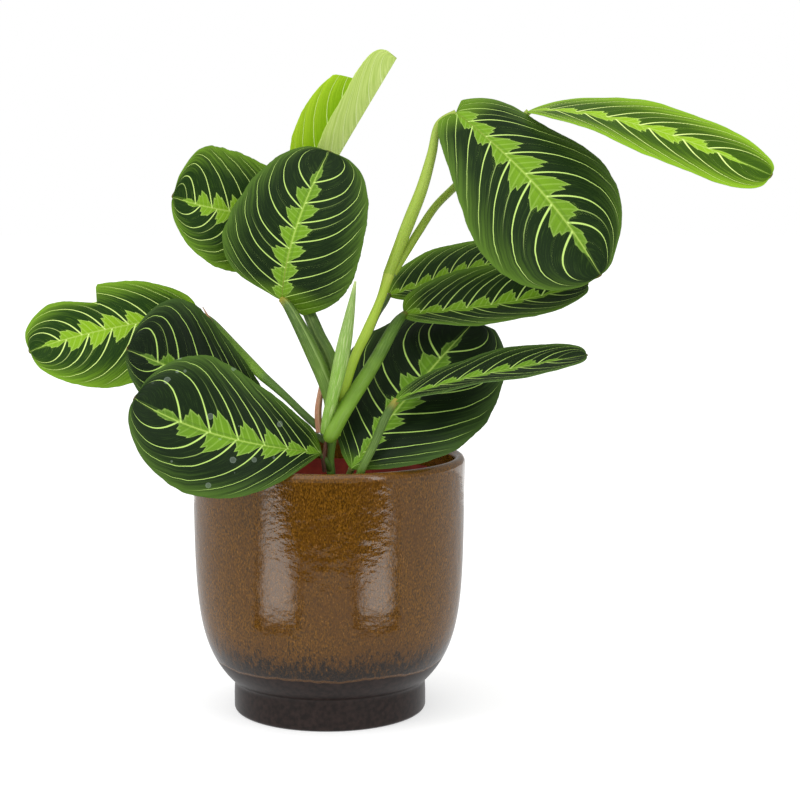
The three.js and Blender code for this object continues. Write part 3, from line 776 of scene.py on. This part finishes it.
def blade_finish():
    made, tree, shader = finish_named("prayer_plant_blade")
    labels = "phase root side length edge under band bright young seed dusty".split()
    phase, root, side, length, edge, under, size, bright, young, seed, dusty = (
        attribute(tree, label) for label in labels)
    t = side.size()
    gap = phase.math("FRACT")
    vein = phase.math("FLOOR")
    dice = tree.nodes.new("ShaderNodeTexWhiteNoise")
    dice.noise_dimensions = "3D"
    put(tree, dice.inputs["Vector"], combined(tree, vein, side.math("SIGN"), seed))
    chance = parts_of(tree, Term(tree, dice.outputs["Color"]))
    streaks = noise(tree, combined(tree, phase * 6, t * 1.6, seed), 1.0, 3, 0.55)
    fine = noise(tree, combined(tree, phase * 22, t * 4, seed), 1.0, 2, 0.6)

    # The lime band: a tall tooth in each gap, a smaller one on each side of it, and a deep notch
    # where the vein leaves.
    centre = 0.55 + (chance[0] - 0.5) * 0.14
    tall = size * (0.86 + chance[1] * 0.28) * root.fade(1.0, 0.62) * (0.65 + root.fade(0.0, 0.45) * 0.35)

    def tooth(shift, rise, fall, height):
        slope = (gap - centre - shift) / rise + 1
        slope = slope.math("MINIMUM", (centre + shift - gap) / fall + 1)
        return slope.math("MAXIMUM", 0.0) * height

    plateau = gap.fade(0.02, 0.3) * gap.fade(1.0, 0.66) * 0.44 + 0.17
    teeth = tooth(*TEETH[0])
    for row in TEETH[1:]:
        teeth = teeth.math("MAXIMUM", tooth(*row))
    lobe = tall * (plateau + teeth) + (fine - 0.5) * 0.02 + (1 - length) ** 6 * 0.12
    band = (lobe - t).fade(-0.008, 0.008)
    outline = (lobe - t).fade(0.035, 0.012) * band

    # The pale lines: side veins, finer rays inside the band, and the midrib with a dark line beside it.
    vein_gap = 0.5 - (gap - 0.5).size()
    line = vein_gap.fade(0.048 - t * 0.018, 0.022 - t * 0.012) * t.fade(0.97, 0.84)
    line = line * root.fade(0.87, 0.83) * length.fade(0.99, 0.95)
    rays = (gap - centre).size()
    third = rays.fade(0.03, 0.012) * chance[2].fade(0.55, 0.7) * t.fade(0.75, 0.45)
    rays = rays.math("MINIMUM", (gap - centre + 0.27).size())
    rays = rays.math("MINIMUM", (gap - centre - 0.24).size()).fade(0.045, 0.012)
    from_rib = t * HALF_BLADE
    middle = from_rib.fade(0.5 * MM, 0.2 * MM)
    beside = (from_rib - 1.2 * MM).size().fade(0.6 * MM, 0.2 * MM)

    # The upper side: dark green that pales towards the margin, the band and the lines.
    dark = mix(tree, bright, linear(18, 29, 15), linear(30, 62, 2))
    green = mix(tree, bright, linear(54, 78, 34), linear(126, 170, 28))
    lime = mix(tree, bright * 0.85 + 0.1, linear(86, 128, 28), linear(138, 178, 18))
    light = mix(tree, bright, linear(164, 198, 98), linear(216, 236, 140))
    away = t + (streaks - 0.5) * 0.7 + (0.5 - vein_gap) * -0.16
    away = away.fade(0.56 - bright * 0.2, 1.25 - bright * 0.12)
    top = mix(tree, away, dark, green)
    top = mix(tree, fine.fade(0.5, 0.75) * 0.22, top, green)
    top = mix(tree, edge.fade(3.5 * MM, 0.3 * MM) * 0.55, top, green)
    top = mix(tree, third * 0.5, top, light)
    top = mix(tree, length.fade(0.15, 0.0) * 0.6, top, lime)
    inside = mix(tree, (t / lobe).fade(0.1, 1.0) * 0.22 + fine.fade(0.4, 0.7) * 0.15, lime, green)
    inside = mix(tree, rays * 0.2 + outline * 0.32, inside, light)
    inside = mix(tree, root.fade(0.5, 0.95) * 0.5, inside, green)
    top = mix(tree, band, top, inside)
    top = mix(tree, line, top, light)
    top = mix(tree, beside * 0.35, top, green)
    rib = mix(tree, length.fade(0.05, 0.5), linear(104, 104, 44), linear(166, 190, 92))
    top = mix(tree, middle * 0.6, top, rib)

    # Dried drops of hard water, on the blades that have them.
    spots = tree.nodes.new("ShaderNodeTexVoronoi")
    fill(tree, spots, {"Scale": DROP_CELLS, "Vector": object_place(tree)})
    dot, _, rare = parts_of(tree, Term(tree, spots.outputs["Color"]))
    drop = Term(tree, spots.outputs["Distance"]) / (dot * dot * 0.4 + 0.05) + (fine - 0.5) * 0.5
    drop = drop.fade(1.0, 0.88) * (0.6 + drop.fade(0.6, 0.9) * 0.4) * rare.fade(0.81, 0.83) * dusty
    top = mix(tree, drop * 0.2, top, linear(180, 196, 180))

    # A young blade is yellow-green without a band, and every blade ends in a small brown nib.
    fresh = mix(tree, (t + (streaks - 0.5) * 0.8).fade(0.2, 1.2), linear(126, 168, 6), linear(164, 196, 40))
    fresh = mix(tree, fine.fade(0.45, 0.7) * 0.3, fresh, linear(104, 150, 8))
    fresh = mix(tree, line * 0.8 + middle * 0.6, fresh, linear(226, 240, 160))
    top = mix(tree, young, top, fresh)
    nib = length.fade(0.999, 0.9998)
    top = mix(tree, nib * 0.6, top, linear(104, 66, 42))

    # The underside: pale and silvery, nearly white under a young blade.
    pale = mix(tree, streaks.fade(0.35, 0.7), linear(92, 118, 70), linear(120, 146, 92))
    pale = mix(tree, band * 0.4, pale, linear(150, 174, 100))
    pale = mix(tree, line * 0.7, pale, linear(164, 184, 124))
    pale = mix(tree, middle * 0.8, pale, linear(170, 184, 120))
    white = mix(tree, streaks.fade(0.3, 0.7), linear(168, 194, 88), linear(194, 214, 120))
    white = mix(tree, line * 0.7, white, linear(222, 236, 170))
    pale = mix(tree, young, pale, white)
    relief = bumps(tree, line * -0.5 + fine * 0.2 + streaks * 0.5, 0.3 * MM, 0.8)
    rough = 0.36 + streaks * 0.16 + under * 0.15
    dress(tree, shader, mix(tree, under, top, pale), rough, 0.09, relief)
    return made


# Each row: node, the midrib's four driving points in mm, where the upper side looks at base and tip,
# the left and right half's widths in mm from base to tip, and what is unlike the usual blade. A pair
# is for the left and the right half.
USUAL_BLADE = dict(
    slot="leaf",
    fold=(8, 8), curl=(-12, -12),       # degrees up at the midrib, and on to the margin, never 0
    back=(4, 4), reach=(2, 2),          # mm that the margin lies back at the base, ahead at the tip
    blunt=(0.5, 0.5), nib=0.9,          # less than 0.5 squares the tip; the nib is in mm
    veins=7.5, shift=(0.3, 0.0),        # side veins on a half, and where they start
    tear=(0, 0.5, 0.0, 0.1, 0.009),     # a notch's side, place, depth, length and softness
    band=0.26, bright=0.05,             # the lime band's width, and how light the greens are
    young=0.0, dusty=0.0)               # 1 for a new blade, and 1 for dried drops of water
BLADES = [
    ("leaf_front_left", [(-2, -46, 140), (-14, -72, 146), (-55, -84, 150), (-90, -70, 170)],
     [(-0.1, -0.95, 0.3), (-0.2, -0.9, 0.3)], [(2, 14, 52, 24), (20, 18, 36, 53)],
     dict(fold=(14, 8), curl=(-8, -20), back=(0, 4), veins=7.7, shift=(-0.16, -0.08), band=0.31,
          bright=0.14, dusty=1.0)),
    ("leaf_left_middle", [(-27, -8, 155), (-45, -16, 168), (-75, -34, 180), (-99, -30, 190)],
     [(-0.1, -0.9, 0.45), (-0.2, -0.9, 0.3)], [(16, 28, 36, 14), (4, 16, 36, 54)],
     dict(curl=(-20, -20))),
    ("leaf_far_left", [(-69, 12, 205), (-95, 5, 202), (-130, 0, 196), (-152.5, -5, 187)],
     [(-0.1, -0.8, 0.6), (-0.2, -0.8, 0.6)], [(26, 34, 36, 26), (20, 28, 26, 29)],
     dict(fold=(-5, 18), tear=(1, 0.54, 0.38, 0.3, 0.009), bright=0.68, band=0.3)),
    ("leaf_centre_left", [(-22, -30, 215), (-20, -38, 238), (-12, -34, 262), (1, -12, 288)],
     [(0, -0.95, 0.2), (0, -0.9, 0.4)], [(43, 38, 24, 36), (42, 36, 28, 42)],
     dict(fold=(5, 5), back=(-5, 9), bright=0.2, band=0.25)),
    ("leaf_upper_left", [(-15, 2, 254), (-35, -6, 256), (-60, -14, 259), (-77.5, -12, 265.5)],
     [(-0.2, -0.9, 0.35), (-0.3, -0.9, 0.35)], [(26, 32, 40, 11), (28, 33, 24, 51)],
     dict(bright=0.5)),
    ("leaf_top_young", [(-14, 27, 255), (2, 20, 284), (24, 12, 318), (35, 8, 336)],
     [(-1, -0.2, 0), (-1, -0.1, 0.25)], [(13, 37, 26, 18), (22, 24, 21, 18)],
     dict(fold=(80, 28), curl=(0.1, 20), young=1.0, bright=1.0, slot="young_leaf", blunt=(0.5, 0.15),
          tear=(-1, 0.735, 0.97, 4, 0.05), nib=0)),
    ("leaf_right_big", [(65, -2, 308), (84, -14, 292), (112, -38, 268), (134.5, -42, 228)],
     [(0.3, -0.75, 0.6), (0.4, -0.85, 0.4)], [(65, 8, 88, 28), (30, 20, 57, 64)],
     dict(fold=(4, 4), curl=(-25, -25), back=(7, 5), bright=0.26, band=0.31, veins=7.4)),
    ("leaf_far_right", [(103.5, 21, 309.5), (135, 8, 312.5), (180, -6, 296), (221.3, -20, 276.5)],
     [(0.1, -0.25, 0.95), (0.3, -0.75, 0.65)], [(42, 26, 27, 20), (24, 26, 25, 32)],
     dict(fold=(0, 4), curl=(0.1, 0.1), back=(1, 1), reach=(1.5, 1.5), bright=1.0, young=0.1,
          blunt=(0.4, 0.4))),
    ("leaf_right_back", [(31, 25, 214), (50, 24, 220), (75, 20, 230), (98, 16, 234)],
     [(-0.2, -0.7, 0.7), (0, -0.7, 0.7)], [(20, 20, 21, 17), (6, 16, 20, 17)],
     dict(fold=(10, 10), bright=0.45)),
    ("leaf_right_middle", [(39, -5, 206), (66, -8, 208), (100, -12, 212), (131, -15, 222)],
     [(0, -0.6, 0.8), (0, -0.6, 0.8)], [(26, 24, 25, 28), (14, 28, 24, 34)],
     dict(fold=(22, 26), bright=0.3)),
    ("leaf_right_lower", [(13, -55, 134), (26, -52, 152), (50, -24, 178), (75, 8, 201)],
     [(-0.25, -0.8, 0.55), (0.2, -0.8, 0.6)], [(8, 44, 50, 48), (10, 54, 34, 46)],
     dict(fold=(-8, 20), curl=(-14, -45), back=(4, 0), reach=(2, 7), band=0.24)),
    ("leaf_right_narrow", [(35, -50, 167), (58, -54, 178), (95, -58, 184), (126.5, -60, 190)],
     [(0, -0.2, 0.98), (0, -0.25, 0.98)], [(18, 22, 25, 26), (12, 14, 16, 24)],
     dict(fold=(8, 2), curl=(0.1, 0.1), bright=0.12)),
]


def blade_values(rib, face, wide, looks):
    """The tree's inputs for one blade, in metres and radians."""
    values = {"Rib %d" % point: Vector(place) * MM for point, place in enumerate(rib)}
    values.update({"Face at base": Vector(face[0]), "Face at tip": Vector(face[1])})
    for side, half in enumerate((" left", " right")):
        for point, width in enumerate(wide[side]):
            values["Width %d" % point + half] = width * MM
        for label, unit in HALF_UNITS.items():
            values[label + half] = looks[label.lower()][side] * unit
    for label, value in zip(("side", "at", "depth", "length", "run"), looks["tear"]):
        values["Tear " + label] = float(value)
    for label in ("veins", "band", "bright", "young", "dusty"):
        values[label.capitalize()] = float(looks[label])
    values["Nib"] = looks["nib"] * MM
    return values


blade_skin = blade_finish()
blades = blade_tree()
for seed, (node, rib, face, wide, unlike) in enumerate(BLADES):
    looks = {**USUAL_BLADE, **unlike}
    values = blade_values(rib, face, wide, looks)
    values.update({"Seed": float(seed), "Finish": blade_skin})
    name = node.replace("leaf", "blade")
    mesh = grown(name, bpy.data.meshes.new(name + "_start"), blades, values)
    add_piece(name, mesh, blade_skin, looks["slot"], node)

# -------- floor, light and camera
# A white table that runs out of sight, soft daylight from all round and two long soft lights. The
# glossy glaze mirrors the table in front, so sheets lie there that nothing but mirrored light sees, and
# they paint its reflections: a grey one paints a dull table, a dark one paints the dark patch on the
# glaze's front, and two glowing ones paint its two pale highlight strips.
SOFT_CELLS = 16                 # cells each way in the net of a soft-edged card
TABLE_REACH = 9
PLANT_MIDDLE = Vector((0, 0, 0.2))


def stage_sheet(name, corners, colour, glow, soft=False):
    """A flat sheet that glows; a soft one fades towards its sides and its far end."""
    mesh = bpy.data.meshes.new(name)
    made, tree, shader = finish_named(name)
    if soft:
        shares = [step / SOFT_CELLS for step in range(SOFT_CELLS + 1)]
        near = [Vector(corners[0]).lerp(Vector(corners[1]), share) for share in shares]
        away = [Vector(corners[3]).lerp(Vector(corners[2]), share) for share in shares]
        places = [start.lerp(end, share) for start, end in zip(near, away) for share in shares]
        row = SOFT_CELLS + 1
        cells = [i for i in range(SOFT_CELLS * row) if i % row < SOFT_CELLS]
        mesh.from_pydata(places, [], [(i, i + 1, i + row + 1, i + row) for i in cells])
        nets = {"far": [share for share in shares for _ in shares],
                "wide": [share for _ in shares for share in shares]}
        for label, values in nets.items():
            mesh.attributes.new(label, "FLOAT", "POINT").data.foreach_set("value", values)
        wide = attribute(tree, "wide")
        fading = wide.fade(0.0, 0.36) * wide.fade(1.0, 0.64) * attribute(tree, "far").fade(1.0, 0.8)
        put(tree, shader.inputs["Emission Strength"], fading * glow)
    else:
        mesh.from_pydata(corners, [], [tuple(range(len(corners)))])
        shader.inputs["Emission Strength"].default_value = glow
    fill(tree, shader, {"Base Color": colour, "Roughness": 0.9, "Specular IOR Level": 0.0,
                        "Emission Color": (1, 1, 1, 1)})
    mesh.materials.append(made)
    sheet = placed(name, mesh)
    return sheet


ways = ((-1, -1), (1, -1), (1, 1), (-1, 1))
stage_sheet("table", [(x * TABLE_REACH, y * TABLE_REACH, 0) for x, y in ways], (0.58, 0.58, 0.58, 1), 0.47)
# Painted reflections: the grey sheet paints a dull table, the dark one the glaze's dark patch, the bright
# ones its highlight strips.
# Each card: its height over the table, its corners on the table and its glow.
CARDS = {
    "grey_card": (0.001, [(-3, -3), (3, -3), (3, 0.6), (-3, 0.6)], 0.7),
    "bright_card_left": (0.003, [(-0.54, -0.34), (-0.135, -0.093), (-0.054, -0.161), (-0.205, -0.59)], 3.6),
    "bright_card_right": (0.003, [(0.21, -0.58), (0.055, -0.159), (0.13, -0.098), (0.55, -0.335)], 3.6),
    "dark_card": (0.005, [(-0.14, -0.37), (-0.42, -0.46), (-1.6, -1.8), (1.6, -1.8),
                          (0.52, -0.37), (0.22, -0.33), (0.04, -0.42)], 0.0),
}
for name, (height, corners, glow) in CARDS.items():
    card = stage_sheet(name, [(x, y, height) for x, y in corners], (0, 0, 0, 1), glow, "bright" in name)
    card.visible_camera = card.visible_diffuse = card.visible_shadow = card.visible_transmission = False


def soft_light(name, place, size, power):
    """A rectangular light that looks at the plant's middle."""
    data = bpy.data.lights.new(name, "AREA")
    data.shape = "RECTANGLE"
    data.size, data.size_y = size
    data.energy = power
    lamp = placed(name, data)
    lamp.location = place
    lamp.rotation_euler = (PLANT_MIDDLE - Vector(place)).to_track_quat("-Z", "Y").to_euler()


soft_light("light_left", (-1.5, -1.1, 1.3), (0.5, 1.6), 14)
soft_light("light_right", (1.3, -1.4, 1.2), (0.4, 1.6), 8)
daylight = bpy.data.lights.new("daylight", "SUN")
daylight.energy = 0.9
daylight.angle = math.radians(70)
sky = placed("daylight", daylight)
sky.rotation_euler = (math.radians(18), math.radians(-8), 0)

world = bpy.data.worlds.new("bright_surround")
bpy.context.scene.world = world
world.use_nodes = True
background = world.node_tree.nodes["Background"]
background.inputs["Color"].default_value = (1, 1, 1, 1)
mirrored = given_by(world.node_tree, "ShaderNodeLightPath", "Is Glossy Ray")
put(world.node_tree, background.inputs["Strength"], 1 - mirrored * 0.6)
bpy.context.scene.view_settings.view_transform = "Standard"

# Standing where the photo was taken from, 0.95 m in front of the pot and 27 cm up.
CAMERA_PLACE = (0.0367, -0.950, 0.2715)
CAMERA_TILT = 83.39             # degrees up from straight down
CAMERA_LENS = 83.39             # millimetres
camera_data = bpy.data.cameras.new("camera")
camera_data.lens = CAMERA_LENS
camera_data.sensor_width = 36
camera_data.clip_end = 30
camera = placed("camera", camera_data)
camera.location = CAMERA_PLACE
camera.rotation_euler = (math.radians(CAMERA_TILT), 0, 0)
bpy.context.scene.camera = camera
